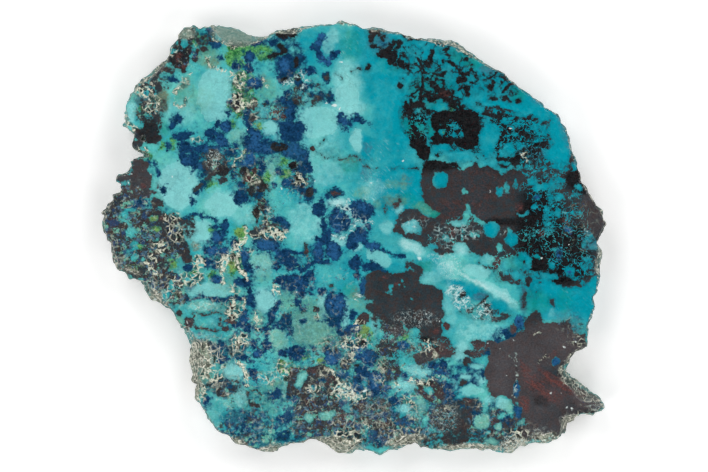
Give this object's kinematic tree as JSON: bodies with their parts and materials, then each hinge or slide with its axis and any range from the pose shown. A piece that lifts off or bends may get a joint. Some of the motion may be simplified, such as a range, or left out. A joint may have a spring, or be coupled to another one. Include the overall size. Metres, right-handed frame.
{
  "type": "chrysocolla specimen",
  "caption": "Irregular polished slab of blue-green chrysocolla with dark and deep blue mineral patches and a rough natural rim, lying on its sawn back.",
  "frame": {"origin": "middle of the slab's bounding box, on the sawn back that it rests on", "axes": "+Z out of the polished face, which is the slab's thickness; +X along the slab's longest way, towards the end with the pointed tongue"},
  "size_m": [0.1012, 0.087, 0.008],
  "materials": {
    "polished_chrysocolla": "polished face, broken natural sides, sawn matt back; turquoise chrysocolla with deep blue azurite, green malachite, black and brown matrix and cream rind"
  },
  "bodies": {
    "root": {"chrysocolla_slab": "polished_chrysocolla"}
  },
  "joints": []
}
